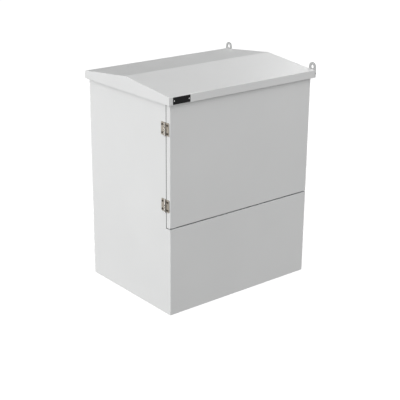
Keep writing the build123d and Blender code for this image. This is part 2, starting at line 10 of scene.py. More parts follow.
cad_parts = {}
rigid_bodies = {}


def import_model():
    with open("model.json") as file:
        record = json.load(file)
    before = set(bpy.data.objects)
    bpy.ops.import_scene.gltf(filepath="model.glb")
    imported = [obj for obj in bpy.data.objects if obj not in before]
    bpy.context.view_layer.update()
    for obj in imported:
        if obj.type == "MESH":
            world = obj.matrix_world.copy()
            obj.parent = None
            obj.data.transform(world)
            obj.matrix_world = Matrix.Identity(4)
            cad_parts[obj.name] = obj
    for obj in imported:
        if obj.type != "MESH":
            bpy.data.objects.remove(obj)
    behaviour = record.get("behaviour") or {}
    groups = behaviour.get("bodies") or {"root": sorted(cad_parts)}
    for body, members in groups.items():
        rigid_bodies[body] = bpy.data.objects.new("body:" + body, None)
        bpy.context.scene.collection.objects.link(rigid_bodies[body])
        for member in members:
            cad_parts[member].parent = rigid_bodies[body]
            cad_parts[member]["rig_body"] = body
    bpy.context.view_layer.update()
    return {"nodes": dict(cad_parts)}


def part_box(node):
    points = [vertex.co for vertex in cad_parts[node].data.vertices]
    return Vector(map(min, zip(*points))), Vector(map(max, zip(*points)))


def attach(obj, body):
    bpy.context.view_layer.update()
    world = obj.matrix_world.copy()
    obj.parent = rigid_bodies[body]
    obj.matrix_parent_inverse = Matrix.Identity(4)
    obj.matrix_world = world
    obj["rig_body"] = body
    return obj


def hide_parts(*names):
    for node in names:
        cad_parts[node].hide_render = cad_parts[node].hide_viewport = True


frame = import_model()

MM = 0.001
TURN = 2 * math.pi
WHITE = (1.0, 1.0, 1.0, 1.0)

# The photograph's camera, fitted to the cabinet's edges
CAMERA_PLACE = (-3.4723, -4.2525, 2.4626)
CAMERA_AZIMUTH = math.radians(-39.267)
CAMERA_ELEVATION = math.radians(20.123)
CAMERA_ROLL = math.radians(0.495)
CAMERA_LENS = 89.82
CAMERA_REACH = 200.0
SENSOR_WIDTH = 36.0

# Floor and surroundings
FLOOR_SIZE = 60.0
FLOOR_GREY = 0.1
BACKDROP_RADIUS = 45.0
BACKDROP_STEPS = 4

# Soft parts of the sky: the direction of each one's middle, and its brightness there
SKY = {
    "left": ((-0.8, 0.0, 0.6), 1.313),
    "front": ((0.0, -0.8, 0.6), 0.592),
}

# Lamps: azimuth and elevation in degrees, distance and size in metres, and power in watts
LAMPS = {
    "lamp_left": (-95.0, 4.0, 12.0, 5.0, 495.0),
    "lamp_front": (10.0, 20.0, 12.0, 5.0, 304.0),
    "lamp_front_right": (45.0, 50.0, 6.0, 2.5, 34.0),
    "lamp_right": (115.0, 32.0, 6.0, 2.5, 54.0),
    "lamp_right_low": (100.0, -10.0, 12.0, 5.0, 830.0),
    "lamp_behind_low": (180.0, -14.0, 12.0, 5.0, 750.0),
}
LAMP_TARGET = (0.0, 0.0, 0.7)

# Rounding of edges, and how finely round shapes are divided
SHEET_EDGE = 0.45 * MM
PLATE_EDGE = 0.7 * MM
SMALL_EDGE = 0.2 * MM
EDGE_STEPS = 3
ROUND_STEPS = 48
CORNER_STEPS = 8
SHARP_ANGLE = math.radians(28.0)
RIDGE_ANGLE = math.radians(10.0)
FLAT_ANGLE = math.radians(0.6)
WELD_DISTANCE = 0.004 * MM
PLACE_DIGITS = 5

# Noise: the middle of its values, no stretch, and levels of detail
MIDDLE_OF_NOISE = (0.3, 0.7)
EVEN = (1.0, 1.0, 1.0)
FINE_DETAIL = 4.0
PLAIN_DETAIL = 3.0
COARSE_DETAIL = 2.0

# Powder coat of the cabinet and of its lifting eyes: greys, and features per metre
COAT_DARK = (0.775, 0.780, 0.778)
COAT_LIGHT = (0.800, 0.805, 0.803)
LUG_DARK = (0.44, 0.445, 0.445)
LUG_LIGHT = (0.50, 0.505, 0.503)
COAT_DRIFT = 2.2
COAT_SHEEN = 14.0
COAT_SHEEN_DETAIL = 5.0
COAT_ROUGHNESS = (0.36, 0.48)
ORANGE_PEEL = 420.0
ORANGE_PEEL_DEPTH = 0.035 * MM

# Galvanised sheet: crystals per metre, each with its own grey and roughness
CRYSTALS = 85.0
CRYSTAL_DARK = (0.50, 0.52, 0.54)
CRYSTAL_LIGHT = (0.68, 0.70, 0.72)
CRYSTAL_ROUGHNESS = (0.38, 0.58)
CRYSTAL_METALLIC = 0.85
ZINC_SKIN = 180.0
ZINC_SKIN_DEPTH = 0.05 * MM

# Stainless hinges: blasted leaf, painted shade on the ends and edges that don't face along X, and
# polished knuckle
LEAF_DARK = (0.46, 0.415, 0.355)
LEAF_LIGHT = (0.62, 0.565, 0.485)
# Painted shade: the dark colour given to the leaves' ends and edges
END_SHADE_COLOUR = (0.20, 0.19, 0.175)
KNUCKLE = (0.72, 0.69, 0.64)
KNUCKLE_FADE = 0.5 * MM
LEAF_TO_KNUCKLE_ROUGHNESS = (0.42, 0.17)
LEAF_TO_KNUCKLE_METALLIC = (0.45, 1.0)
# Painted shade: the range of the normal's X over which faces fade into the dark end colour
END_SHADE_FACING = (0.5, 0.8)
BLASTING = 90.0
DRAWN_LINES = 500.0
DRAWN_ALONG_Z = (1.0, 1.0, 0.04)
DRAWN_DEPTH = 0.012 * MM

# Finishes that drift between two colours and two roughnesses, with scales in features per metre
FINISHES = {
    "zinc_fasteners": {
        "dark": (0.56, 0.58, 0.60),
        "light": (0.72, 0.73, 0.74),
        "roughness": (0.26, 0.42),
        "scale": 240.0,
        "relief": 0.01 * MM,
        "relief_scale": 900.0,
        "metallic": 1.0,
    },
    "dark_screw": {
        "dark": (0.09, 0.08, 0.07),
        "light": (0.17, 0.155, 0.135),
        "roughness": (0.30, 0.44),
        "scale": 260.0,
        "relief": 0.008 * MM,
        "relief_scale": 900.0,
        "metallic": 0.7,
    },
    "bright_rivet": {
        "dark": (0.90, 0.90, 0.89),
        "light": (0.96, 0.96, 0.95),
        "roughness": (0.34, 0.46),
        "scale": 300.0,
        "detail": COARSE_DETAIL,
        "metallic": 0.25,
    },
    "washer_plastic": {
        "dark": (0.012, 0.012, 0.013),
        "light": (0.022, 0.022, 0.023),
        "roughness": (0.42, 0.55),
        "scale": 700.0,
        "detail": COARSE_DETAIL,
        "relief": 0.01 * MM,
    },
    "black_plate": {
        "dark": (0.006, 0.006, 0.007),
        "light": (0.016, 0.016, 0.017),
        "roughness": (0.34, 0.50),
        "roughness_from": MIDDLE_OF_NOISE,
        "scale": 260.0,
        "detail": FINE_DETAIL,
        "stretch": (0.05, 1.0, 1.0),
        "relief": 0.008 * MM,
    },
    # Black rubber of the door seal, also used for the painted shade strips beside the door
    "seal_rubber": {
        "dark": (0.010, 0.010, 0.010),
        "light": (0.024, 0.024, 0.024),
        "roughness": (0.62, 0.82),
        "scale": 320.0,
        "detail": FINE_DETAIL,
        "relief": 0.03 * MM,
    },
    "earth_brass": {
        "dark": (0.58, 0.40, 0.16),
        "light": (0.78, 0.58, 0.27),
        "roughness": (0.25, 0.42),
        "scale": 180.0,
        "detail": FINE_DETAIL,
        "metallic": 1.0,
    },
    "lock_chrome": {
        "dark": (0.62, 0.63, 0.65),
        "light": (0.74, 0.75, 0.77),
        "roughness": (0.12, 0.24),
        "scale": 90.0,
        "relief": 0.006 * MM,
        "relief_scale": 400.0,
        "metallic": 1.0,
    },
    "lock_steel": {
        "dark": (0.42, 0.43, 0.44),
        "light": (0.58, 0.58, 0.57),
        "roughness": (0.32, 0.50),
        "scale": 130.0,
        "detail": FINE_DETAIL,
        "relief": 0.01 * MM,
        "relief_scale": 600.0,
        "metallic": 1.0,
    },
}

# Sheets and plates that keep their CAD shape and get rounded edges
COATED_SHEETS = (
    "plinth_skirt", "body_shell", "door_frame", "top_panel", "floor_pan",
    "door_panel", "door_stiffener_left", "door_stiffener_right",
)
ZINC_SHEETS = (
    "plinth_foot_frame", "plinth_top_frame", "roof_bearer_left", "roof_bearer_right",
    "mounting_plate", "lock_upper_keeper", "lock_lower_keeper",
)

# Hexagon heads: width across flats, head height and shank radius
HINGE_SCREW = {"flats": 10 * MM, "head": 4 * MM, "radius": 3 * MM}
LARGE_BOLT = {"flats": 16 * MM, "head": 6.4 * MM, "radius": 5 * MM}

# Hexagons and threads: shares of their size, bores of nuts, and pitch
HEX_SIDE = TURN / 6
HEX_CROWN_SHARE = 0.95
HEX_CHAMFER = math.radians(30.0)
CORNER_LIES_ALONG = 0.5
BORE_LEAD_SHARE = 1.08
CLAW_NUT_BORE = 2.6 * MM
HOUSING_NUT_BORE = 8.1 * MM
BOARD_NUT_BORE = 4.1 * MM
THREAD_PITCH = 1.25 * MM
THREAD_STEPS = 32
DEPTH_BY_PITCH = 0.06
DEPTH_BY_RADIUS = 0.05
PLAIN_SHANK_SHARE = 0.4

# Hinges
HINGE_PLATE = 2.9 * MM
HINGE_CORNER = 4 * MM
HINGE_EDGE = 0.35 * MM
KNUCKLE_GAP = 0.05 * MM
KNUCKLE_PARTING = 0.3 * MM
LEAF_CLEARANCE = 0.5 * MM
LEAF_OVERLAP = 2 * MM
CURL_ANGLE = math.radians(306.0)
CURL_STEPS = 40
SCREW_HOLE = 3.3 * MM
HOLE_REACH = 20 * MM
PIN_CHAMFER = 0.4 * MM
WASHER_BORE = 3.05 * MM
WASHER_EDGE = 0.2 * MM

# Name plate and its rivets
NAME_PLATE_CORNER = 3.0 * MM
NAME_PLATE_EDGE = 0.12 * MM
RIM_WIDTH = 1.6 * MM
RECESS_CORNER = 1.8 * MM
RECESS_FLOOR_SHARE = 0.65
RIVET_HOLE = 1.7 * MM
RIVET_HEIGHT = 1.5 * MM
RIVET_SHANK = 1.6 * MM
RIVET_RIM_SHARE = 0.15
DOME_STEPS = 8

# Door seal: its width and corner, then shares of its half width and of its depth
SEAL_WIDTH = 14 * MM
SEAL_CORNER = 14 * MM
LIP_TOP = 0.22
NECK_WIDTH = 0.72
NECK_TOP = 0.34
BULB_MIDDLE = 0.42
BULB_START = 0.04
BULB_STEPS = 14

# Black strips on the body's front flanges, a painted shade in the joints beside the door
SHADE_STRIP_DEPTH = 2.2 * MM
SHADE_STRIP_WIDTH = 8.0 * MM
SHADE_STRIP_INSET = 0.4 * MM
BODY_BEND = 3.5 * MM

# Lock housings
HOUSING_BORE = 6.0 * MM
HOUSING_FACE = 3.0 * MM
BARREL_RADIUS = 8.0 * MM
BARREL_PITCH = 1.0 * MM
BARREL_THREAD_DEPTH = 0.35 * MM
BARREL_THREAD_END = 1.2 * MM
BARREL_NECK = 0.2 * MM
FLANGE_CHAMFER = 1.0 * MM
FLANGE_RIM = 2.2 * MM
DISH_DEPTH = 0.4 * MM
BORE_RIM = 0.8 * MM

# Equipment board's spacers, and the earth terminal
SPACER_LENGTH = 22 * MM
SPACER_SCREW = 4 * MM
EARTH_STUD = 5 * MM
EARTH_PITCH = 1.5 * MM
EARTH_NUT_FLATS = 16 * MM
EARTH_NUT_BORE = 5.1 * MM
EARTH_WASHER_BORE = 5.2 * MM
EARTH_WASHER_RADIUS = 10 * MM
EARTH_WASHER_HEIGHT = 2 * MM
EARTH_WASHER_EDGE = 0.3 * MM

# Spot welds on the door's stiffeners: rows, and radius and height pairs of one weld
SPOT_COUNT = 9
SPOT_INSET = 7 * MM
SPOT_STEPS = 20
SPOT_PROFILE = (
    (0.0, 0.0),
    (3.2 * MM, 0.0),
    (2.6 * MM, 0.25 * MM),
    (1.8 * MM, 0.12 * MM),
    (0.0, 0.10 * MM),
)
STIFFENER_SHEET = 1.5 * MM


# Meshes

def mesh_of(work, name):
    """The mesh of an edit, which ends here."""
    mesh = bpy.data.meshes.new(name)
    work.to_mesh(mesh)
    work.free()
    return mesh


def applied(mesh, kind, **settings):
    """The mesh after one modifier."""
    holder = bpy.data.objects.new("holder", mesh)
    bpy.context.scene.collection.objects.link(holder)
    modifier = holder.modifiers.new(kind, kind)
    for key, value in settings.items():
        setattr(modifier, key, value)
    graph = bpy.context.evaluated_depsgraph_get()
    result = bpy.data.meshes.new_from_object(holder.evaluated_get(graph))
    bpy.data.objects.remove(holder)
    return result


def cleaned(mesh):
    """The mesh with its vertices welded and its flat faces made whole."""
    work = bmesh.new()
    work.from_mesh(mesh)
    bmesh.ops.remove_doubles(work, verts=work.verts, dist=WELD_DISTANCE)
    bmesh.ops.dissolve_limit(
        work,
        angle_limit=FLAT_ANGLE,
        verts=work.verts,
        edges=work.edges,
        use_dissolve_boundaries=False,
    )
    bmesh.ops.recalc_face_normals(work, faces=work.faces)
    return mesh_of(work, "cleaned")


def rounded(mesh, width, smooth=SHARP_ANGLE):
    """The mesh with its sharp edges rounded, and smooth shading below an angle."""
    work = bmesh.new()
    work.from_mesh(mesh)
    sharp = [e for e in work.edges if e.is_manifold and e.calc_face_angle() > SHARP_ANGLE]
    bmesh.ops.bevel(
        work,
        geom=sharp,
        offset=width,
        offset_type="OFFSET",
        segments=EDGE_STEPS,
        profile=0.5,
        affect="EDGES",
        clamp_overlap=False,
        miter_outer="ARC",
    )
    work.normal_update()
    for edge in work.edges:
        edge.smooth = edge.calc_face_angle(0.0) < smooth
    for face in work.faces:
        face.smooth = True
    return applied(mesh_of(work, "rounded"), "WEIGHTED_NORMAL", weight=100, keep_sharp=True)


def merged(meshes):
    """One mesh from several, side by side."""
    work = bmesh.new()
    for mesh in meshes:
        work.from_mesh(mesh)
    return mesh_of(work, "merged")


def combined(first, others, operation):
    """A closed mesh joined with others, or with the others cut out of it."""
    for other in others:
        holder = bpy.data.objects.new("other", other)
        bpy.context.scene.collection.objects.link(holder)
        first = applied(first, "BOOLEAN", operation=operation, object=holder, solver="EXACT")
        bpy.data.objects.remove(holder)
    return first


def spin_to(facing):
    """The turn that brings the Z axis to a direction."""
    return Vector(facing).to_track_quat("Z", "Y").to_matrix().to_4x4()


def turned(mesh, place, facing):
    """The mesh moved to a place, with its own Z axis along a direction."""
    mesh.transform(Matrix.Translation(Vector(place)) @ spin_to(facing))
    return mesh


def skinned(loops, name):
    """A closed skin over loops of points, each joined to the next and the last to the first."""
    work = bmesh.new()
    rings = [[work.verts.new(point) for point in loop] for loop in loops]
    for here, after in zip(rings, rings[1:] + rings[:1]):
        for i in range(len(here)):
            j = (i + 1) % len(here)
            work.faces.new((here[i], after[i], after[j], here[j]))
    bmesh.ops.remove_doubles(work, verts=work.verts, dist=WELD_DISTANCE)
    bmesh.ops.recalc_face_normals(work, faces=work.faces)
    return mesh_of(work, name)


def lathe(profile, steps=ROUND_STEPS):
    """A closed profile of radius and height pairs, turned round the Z axis."""
    loops = []
    for step in range(steps):
        angle = TURN * step / steps
        loops.append([(r * math.cos(angle), r * math.sin(angle), z) for r, z in profile])
    return skinned(loops, "lathe")


def drill(radius, low, high):
    """A round rod along Z, which cuts a hole."""
    return lathe([(0.0, low), (radius, low), (radius, high), (0.0, high)])


def prism(outline, low, high):
    """A flat outline raised from one height to another."""
    work = bmesh.new()
    bottom = [work.verts.new((x, y, low)) for x, y in outline]
    top = [work.verts.new((x, y, high)) for x, y in outline]
    work.faces.new(bottom)
    work.faces.new(top)
    for i in range(len(outline)):
        j = (i + 1) % len(outline)
        work.faces.new((bottom[i], bottom[j], top[j], top[i]))
    bmesh.ops.recalc_face_normals(work, faces=work.faces)
    return mesh_of(work, "prism")


def arc(middle, radius, start, end, steps):
    """Points on an arc, with both of its ends."""
    points = []
    for step in range(steps + 1):
        angle = start + (end - start) * step / steps
        x = middle[0] + radius * math.cos(angle)
        y = middle[1] + radius * math.sin(angle)
        points.append((x, y))
    return points


def rounded_outline(low, high, radii):
    """A rectangle with its own radius at each corner, from low left and anticlockwise."""
    corners = [(low[0], low[1]), (high[0], low[1]), (high[0], high[1]), (low[0], high[1])]
    inward = [(1, 1), (-1, 1), (-1, -1), (1, -1)]
    points = []
    for i, radius in enumerate(radii):
        if radius == 0:
            points.append(corners[i])
            continue
        middle = (corners[i][0] + inward[i][0] * radius, corners[i][1] + inward[i][1] * radius)
        start = TURN / 2 + i * TURN / 4
        points += arc(middle, radius, start, start + TURN / 4, CORNER_STEPS)
    return points


def solids_of(node):
    """The box of each separate solid in a CAD node, as its lowest and highest corners."""
    work = bmesh.new()
    work.from_mesh(frame["nodes"][node].data)
    bmesh.ops.remove_doubles(work, verts=work.verts, dist=WELD_DISTANCE)
    left = set(work.verts)
    boxes = []
    while left:
        group = [left.pop()]
        for vert in group:
            for edge in vert.link_edges:
                other = edge.other_vert(vert)
                if other in left:
                    left.remove(other)
                    group.append(other)
        lows = [min(v.co[i] for v in group) for i in range(3)]
        highs = [max(v.co[i] for v in group) for i in range(3)]
        boxes.append((Vector(lows), Vector(highs)))
    work.free()
    return sorted(boxes, key=lambda box: tuple(round(value, PLACE_DIGITS) for value in box[0]))


def body_of(node):
    """The body that a CAD node belongs to."""
    return frame["nodes"][node]["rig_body"]


def finished(name, mesh, material, body, nodes=()):
    """Put a piece in the scene: its material, its body and the nodes it stands for."""
    piece = bpy.data.objects.new(name, mesh)
    bpy.context.scene.collection.objects.link(piece)
    mesh.materials.clear()
    mesh.materials.append(material)
    if not mesh.has_custom_normals:
        mesh.shade_smooth()
        mesh.set_sharp_from_angle(angle=SHARP_ANGLE)
    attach(piece, body)
    if nodes:
        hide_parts(*nodes)


# Materials

def maths(tree, operation, *terms):
    """The result of a maths node whose terms are numbers or the outputs of other nodes."""
    node = tree.nodes.new("ShaderNodeMath")
    node.operation = operation
    for socket, term in zip(node.inputs, terms):
        if isinstance(term, float):
            socket.default_value = term
        else:
            tree.links.new(term, socket)
    return node.outputs["Value"]


class Nodes:
    """The node tree of one material, with short calls to add to it."""

    def __init__(self, name):
        self.material = bpy.data.materials.new(name)
        self.material.use_nodes = True
        self.tree = self.material.node_tree
        self.shader = self.tree.nodes["Principled BSDF"]
        coordinates = self.add("ShaderNodeTexCoord")
        self.place = coordinates.outputs["Object"]
        self.normal = coordinates.outputs["Normal"]

    def add(self, kind):
        """A new node."""
        return self.tree.nodes.new(kind)

    def link(self, output, target):
        """A link from an output to an input."""
        self.tree.links.new(output, target)

    def noise(self, scale, detail=PLAIN_DETAIL, stretch=EVEN):
        """Noise that runs from 0 to 1, in features per metre, stretched along the axes."""
        mapping = self.add("ShaderNodeMapping")
        mapping.inputs["Scale"].default_value = stretch
        self.link(self.place, mapping.inputs["Vector"])
        node = self.add("ShaderNodeTexNoise")
        node.inputs["Scale"].default_value = scale
        node.inputs["Detail"].default_value = detail
        self.link(mapping.outputs["Vector"], node.inputs["Vector"])
        return node.outputs["Fac"]

    def cells(self, scale):
        """A grey value for each cell of a crystal pattern."""
        node = self.add("ShaderNodeTexVoronoi")
        node.inputs["Scale"].default_value = scale
        self.link(self.place, node.inputs["Vector"])
        split = self.add("ShaderNodeSeparateColor")
        self.link(node.outputs["Color"], split.inputs["Color"])
        return split.outputs["Red"]

    def ranged(self, value, low, high, start=0.0, end=1.0):
        """A value moved from one range to another."""
        node = self.add("ShaderNodeMapRange")
        node.inputs["From Min"].default_value = start
        node.inputs["From Max"].default_value = end
        node.inputs["To Min"].default_value = low
        node.inputs["To Max"].default_value = high
        self.link(value, node.inputs["Value"])
        return node.outputs["Result"]

    def mixer(self, value):
        """The two colour inputs and the result of a mix that goes by a value."""
        node = self.add("ShaderNodeMix")
        node.data_type = "RGBA"
        self.link(value, node.inputs["Factor"])
        first, second = [socket for socket in node.inputs if socket.type == "RGBA"]
        result = [socket for socket in node.outputs if socket.type == "RGBA"][0]
        return first, second, result

    def blended(self, value, dark, light):
        """A colour between two, by a value."""
        first, second, result = self.mixer(value)
        first.default_value = (*dark, 1.0)
        second.default_value = (*light, 1.0)
        return result

    def mixed(self, value, output, colour):
        """A colour that turns into a plain one, by a value."""
        first, second, result = self.mixer(value)
        self.link(output, first)
        second.default_value = (*colour, 1.0)
        return result

    def split(self, vector, axis):
        """One axis of a vector."""
        node = self.add("ShaderNodeSeparateXYZ")
        self.link(vector, node.inputs["Vector"])
        return node.outputs[axis]

    def colour(self, output):
        """The colour of the surface."""
        self.link(output, self.shader.inputs["Base Color"])

    def roughness(self, output):
        """The roughness of the surface."""
        self.link(output, self.shader.inputs["Roughness"])

    def metallic(self, share):
        """How metallic the surface is, the same all over."""
        self.shader.inputs["Metallic"].default_value = share

    def bump(self, heights, distance):
        """Relief from a height value, in metres."""
        node = self.add("ShaderNodeBump")
        node.inputs["Distance"].default_value = distance
        node.inputs["Strength"].default_value = 1.0
        self.link(heights, node.inputs["Height"])
        self.link(node.outputs["Normal"], self.shader.inputs["Normal"])


def drifting(name, dark, light, roughness, scale, detail=PLAIN_DETAIL, stretch=EVEN,
             roughness_from=(0.0, 1.0), relief=0.0, relief_scale=0.0, metallic=0.0):
    """A finish that drifts between two colours and two roughnesses, with fine relief."""
    nodes = Nodes(name)
    drift = nodes.noise(scale, detail, stretch)
    nodes.colour(nodes.blended(drift, dark, light))
    nodes.roughness(nodes.ranged(drift, *roughness, *roughness_from))
    if relief_scale:
        nodes.bump(nodes.noise(relief_scale, COARSE_DETAIL), relief)
    elif relief:
        nodes.bump(drift, relief)
    nodes.metallic(metallic)
    return nodes.material


def powder_coat(name, dark, light):
    """Polyester powder coat with a fine orange peel."""
    nodes = Nodes(name)
    drift = nodes.ranged(nodes.noise(COAT_DRIFT, FINE_DETAIL), 0.0, 1.0, *MIDDLE_OF_NOISE)
    nodes.colour(nodes.blended(drift, dark, light))
    sheen = nodes.noise(COAT_SHEEN, COAT_SHEEN_DETAIL)
    nodes.roughness(nodes.ranged(sheen, *COAT_ROUGHNESS, *MIDDLE_OF_NOISE))
    nodes.bump(nodes.noise(ORANGE_PEEL, COARSE_DETAIL), ORANGE_PEEL_DEPTH)
    return nodes.material


def galvanised():
    """Hot-dipped zinc with its crystal pattern."""
    nodes = Nodes("galvanised")
    crystal = nodes.cells(CRYSTALS)
    nodes.colour(nodes.blended(crystal, CRYSTAL_DARK, CRYSTAL_LIGHT))
    nodes.roughness(nodes.ranged(crystal, *CRYSTAL_ROUGHNESS))
    nodes.bump(nodes.noise(ZINC_SKIN), ZINC_SKIN_DEPTH)
    nodes.metallic(CRYSTAL_METALLIC)
    return nodes.material


def stainless():
    """Warm blasted stainless steel of the hinge leaves, with polished knuckles, and painted shade on the
    ends and edges that don't face along X.
    """
    nodes = Nodes("stainless")
    plate_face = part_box("hinge_upper_body_leaf")[1].x - HINGE_PLATE
    across = nodes.split(nodes.place, "X")
    knuckle = nodes.ranged(across, 1.0, 0.0, plate_face - KNUCKLE_FADE, plate_face)
    sideways = maths(nodes.tree, "ABSOLUTE", nodes.split(nodes.normal, "X"))
    # Painted shade: faces that don't face along X, the leaves' ends and edges, are darkened by the way
    # they face
    painted_end_shade = nodes.ranged(sideways, 1.0, 0.0, *END_SHADE_FACING)
    blasted = nodes.blended(nodes.noise(BLASTING), LEAF_DARK, LEAF_LIGHT)
    leaf_with_end_shade = nodes.mixed(painted_end_shade, blasted, END_SHADE_COLOUR)
    nodes.colour(nodes.mixed(knuckle, leaf_with_end_shade, KNUCKLE))
    nodes.roughness(nodes.ranged(knuckle, *LEAF_TO_KNUCKLE_ROUGHNESS))
    metallic = nodes.ranged(knuckle, *LEAF_TO_KNUCKLE_METALLIC)
    nodes.link(metallic, nodes.shader.inputs["Metallic"])
    nodes.bump(nodes.noise(DRAWN_LINES, FINE_DETAIL, DRAWN_ALONG_Z), DRAWN_DEPTH)
    return nodes.material


# Fasteners

def hexagon(flats, height, bore=0.0, both_ends=False):
    """A hexagon head or nut that stands on its seat, along Z, with its corners turned off."""
    half = flats / 2
    crown = half * HEX_CROWN_SHARE
    loops = []
    for step in range(ROUND_STEPS):
        angle = TURN * step / ROUND_STEPS
        from_flat = (angle + HEX_SIDE / 2) % HEX_SIDE - HEX_SIDE / 2
        radius = half / math.cos(from_flat)
        top = height - (radius - crown) * math.tan(HEX_CHAMFER)
        low = height - top if both_ends else 0.0
        foot = crown if both_ends else radius
        points = [(foot, 0.0), (radius, low), (radius, top), (crown, height)]
        if bore:
            lead = bore * BORE_LEAD_SHARE
            points += [(lead, height), (bore, height - lead + bore)]
            points += [(bore, lead - bore), (lead, 0.0)]
        else:
            points += [(0.0, height), (0.0, 0.0)]
        loops.append([(r * math.cos(angle), r * math.sin(angle), z) for r, z in points])
    return skinned(loops, "hexagon")


def thread(radius, length, plain, pitch=THREAD_PITCH):
    """A screw's shank along Z: plain first, then threaded, with a chamfered end."""
    depth = DEPTH_BY_PITCH * pitch + DEPTH_BY_RADIUS * radius
    profile = [(0.0, 0.0), (radius, 0.0), (radius, plain)]
    height = plain
    while height + pitch < length - pitch / 2:
        profile.append((radius - depth, height + pitch / 2))
        profile.append((radius, height + pitch))
        height += pitch
    profile += [(radius, length - pitch / 2), (radius - pitch / 2, length), (0.0, length)]
    return lathe(profile, THREAD_STEPS)


def ring(inner, outer, height, edge):
    """A flat washer with rounded edges, on its seat, along Z."""
    return lathe([
        (inner, 0.0),
        (outer - edge, 0.0),
        (outer, edge),
        (outer, height - edge),
        (outer - edge, height),
        (inner + edge, height),
        (inner, height - edge),
    ])


def axis_frame(box, axis, head_side):
    """The middle of a fastener's head end, the way its head faces, and its length."""
    low, high = box
    facing = Vector((0.0, 0.0, 0.0))
    facing[axis] = head_side
    end = (low + high) / 2
    end[axis] = high[axis] if head_side > 0 else low[axis]
    return end, facing, high[axis] - low[axis]


def headed_screws(name, node, axis, head_side, material, slot, flats, head, radius):
    """Hexagon screws with turned heads and threaded shanks, for every solid of a node."""
    meshes = []
    for box in solids_of(node):
        end, facing, length = axis_frame(box, axis, head_side)
        seat = end - facing * head
        meshes.append(turned(hexagon(flats, head), seat, facing))
        shank = length - head
        meshes.append(turned(thread(radius, shank, PLAIN_SHANK_SHARE * shank), seat, -facing))
    finished(name, merged(meshes), material, body_of(node), [node])


def oriented(mesh, seat, facing, box, axis):
    """A hexagon on its seat, turned so that its corners lie as the CAD solid's do."""
    spin = spin_to(facing)
    sizes = box[1] - box[0]
    others = [i for i in range(3) if i != axis]
    wide = others[0] if sizes[others[0]] > sizes[others[1]] else others[1]
    corner = spin @ Vector((1.0, 0.0, 0.0))
    if abs(corner[wide]) < CORNER_LIES_ALONG:
        spin = spin @ Matrix.Rotation(TURN / 4, 4, "Z")
    mesh.transform(Matrix.Translation(seat) @ spin)
    return mesh


def nuts(node, axis, side, bore, material):
    """Chamfered nuts for every solid of a node, on their seats."""
    meshes = []
    for box in solids_of(node):
        end, facing, length = axis_frame(box, axis, side)
        flats = min(box[1][i] - box[0][i] for i in range(3) if i != axis)
        mesh = hexagon(flats, length, bore, both_ends=True)
        meshes.append(oriented(mesh, end - facing * length, facing, box, axis))
    finished(node + "_chamfered", merged(meshes), material, body_of(node), [node])


# Pieces

def softened(node, material, width, smooth=SHARP_ANGLE):
    """A CAD sheet or plate with its edges rounded."""
    mesh = rounded(cleaned(frame["nodes"][node].data), width, smooth)
    finished(node + "_skin", mesh, material, body_of(node), [node])


def hinge_leaf(row, part, material):
    """A rolled hinge leaf: a flat plate whose own half is curled round the pin."""
    node = "hinge_" + row + "_" + part
    low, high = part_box(node)
    pin_low, pin_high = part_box("hinge_" + row + "_pin")
    axis = ((pin_low.x + pin_high.x) / 2, (pin_low.y + pin_high.y) / 2)
    outer = high.x - axis[0]
    inner = (pin_high.x - pin_low.x) / 2 + KNUCKLE_GAP
    wall = outer - inner - KNUCKLE_GAP

    # The body's leaf runs back from the lower knuckle, and the door's runs forward from the upper one
    washer = [box for box in solids_of("hinge_washers") if low.z < box[0].z < high.z][0]
    if part == "body_leaf":
        towards = 1
        far = high.y
        knuckle_low = low.z
        knuckle_high = washer[0].z
        corners = (0.0, HINGE_CORNER, HINGE_CORNER, 0.0)
        screws = "hinge_body_screws"
    else:
        towards = -1
        far = low.y
        knuckle_low = washer[1].z + KNUCKLE_PARTING
        knuckle_high = high.z
        corners = (HINGE_CORNER, 0.0, 0.0, HINGE_CORNER)
        screws = "hinge_door_screws"

    near = axis[1] + towards * (outer + LEAF_CLEARANCE)
    low_y, high_y = sorted((near, far))
    plate = prism(rounded_outline((low_y, low.z), (high_y, high.z), corners), 0.0, wall)
    plate.transform(Matrix((
        (0, 0, 1, high.x - wall),
        (1, 0, 0, 0),
        (0, 1, 0, 0),
        (0, 0, 0, 1),
    )))

    run = near + towards * LEAF_OVERLAP
    outside = arc(axis, outer, 0.0, -towards * CURL_ANGLE, CURL_STEPS)
    inside = arc(axis, inner, 0.0, -towards * CURL_ANGLE, CURL_STEPS)
    curl = [(high.x, run)] + outside + inside[::-1] + [(high.x - wall, run)]
    leaf = combined(plate, [prism(curl, knuckle_low, knuckle_high)], "UNION")

    holes = []
    for box in solids_of(screws):
        middle = (box[0] + box[1]) / 2
        if low.z < middle.z < high.z:
            hole = drill(SCREW_HOLE, -HOLE_REACH, HOLE_REACH)
            holes.append(turned(hole, (high.x, middle.y, middle.z), (1, 0, 0)))
    mesh = rounded(cleaned(combined(leaf, holes, "DIFFERENCE")), HINGE_EDGE)
    finished(node + "_rolled", mesh, material, body_of(node), [node])


def hinge_pin(row, material):
    """The hinge pin, with a chamfer at each end."""
    node = "hinge_" + row + "_pin"
    low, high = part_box(node)
    middle = (low + high) / 2
    radius = (high.x - low.x) / 2
    length = high.z - low.z
    narrow = radius - PIN_CHAMFER
    profile = [(0.0, 0.0), (narrow, 0.0), (radius, PIN_CHAMFER)]
    profile += [(radius, length - PIN_CHAMFER), (narrow, length), (0.0, length)]
    mesh = turned(lathe(profile), (middle.x, middle.y, low.z), (0, 0, 1))
    finished(node + "_turned", mesh, material, body_of(node), [node])


def hinge_washers(material):
    """Thin bearing washers with rounded edges."""
    meshes = []
    for low, high in solids_of("hinge_washers"):
        middle = (low + high) / 2
        mesh = ring(WASHER_BORE, (high.x - low.x) / 2, high.z - low.z, WASHER_EDGE)
        meshes.append(turned(mesh, (middle.x, middle.y, low.z), (0, 0, 1)))
    finished("hinge_bearing_washers", merged(meshes), material, "cabinet",
             ["hinge_washers"])


